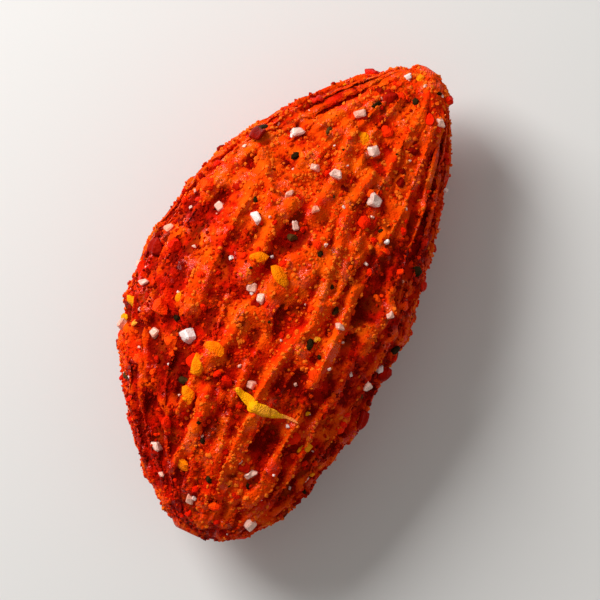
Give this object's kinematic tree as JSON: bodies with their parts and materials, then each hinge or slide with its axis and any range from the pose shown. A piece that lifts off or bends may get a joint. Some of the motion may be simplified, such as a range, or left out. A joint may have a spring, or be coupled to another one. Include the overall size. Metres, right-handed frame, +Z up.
{
  "type": "chili coated almond",
  "caption": "Roasted almond in a rough crust of chili powder, salt and pepper, pointed at one end and round at the other, lying on its broad side.",
  "frame": {"origin": "middle of the underside, in the small flat that the nut rests on", "axes": "+X to the pointed tip, +Y to the fuller side of the outline, +Z up through the broad faces"},
  "size_m": [0.0256, 0.0139, 0.0084],
  "materials": {
    "chili_crust": "oily roasted skin under chili powder, bright orange-red on the ridges and dark red-brown in the furrows",
    "chili_powder": "dry orange-red powder grains",
    "chili_flake": "deep red chili crumbs and thin curled flakes, slightly glossy",
    "pepper": "blackish brown specks of pepper and charred chili",
    "salt": "white crystals, translucent, tinted by the oil",
    "chili_seed": "orange-yellow seed bits and fibres, slightly waxy"
  },
  "bodies": {
    "root": {"almond": "chili_crust"}
  },
  "joints": []
}
